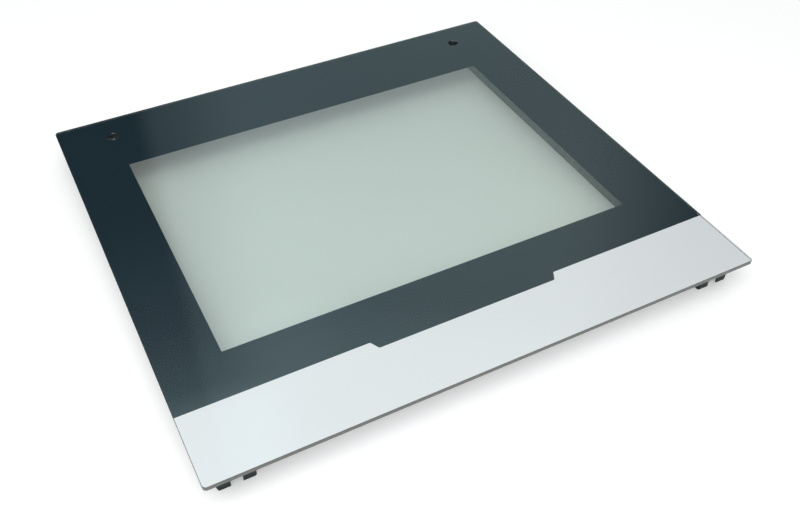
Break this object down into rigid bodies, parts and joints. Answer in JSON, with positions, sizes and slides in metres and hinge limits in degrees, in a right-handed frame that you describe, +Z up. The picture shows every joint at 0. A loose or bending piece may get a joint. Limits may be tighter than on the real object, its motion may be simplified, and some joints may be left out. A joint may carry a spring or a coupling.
{
  "type": "oven door outer glass",
  "caption": "Flat toughened pane with a dark printed frame round a clear window, a silver lower band, handle holes and folded side rails behind it.",
  "frame": {"origin": "on the floor, under the middle of the pane's outline", "axes": "+X along the door's width to the right, +Y from the silver lower edge to the handle edge, +Z up out of the door's outer face"},
  "size_m": [0.495, 0.466, 0.0297],
  "materials": {
    "glass": "polished, faint green tint",
    "dark_enamel": "fired ceramic print seen through the glass",
    "silver_enamel": "fired silver-grey print seen through the glass",
    "rail_paint": "dark satin coating on folded sheet steel"
  },
  "bodies": {
    "root": {"glass_pane": "glass", "frame_print": "dark_enamel", "band_print": "silver_enamel", "side_rail_left": "rail_paint", "side_rail_right": "rail_paint"}
  },
  "joints": []
}
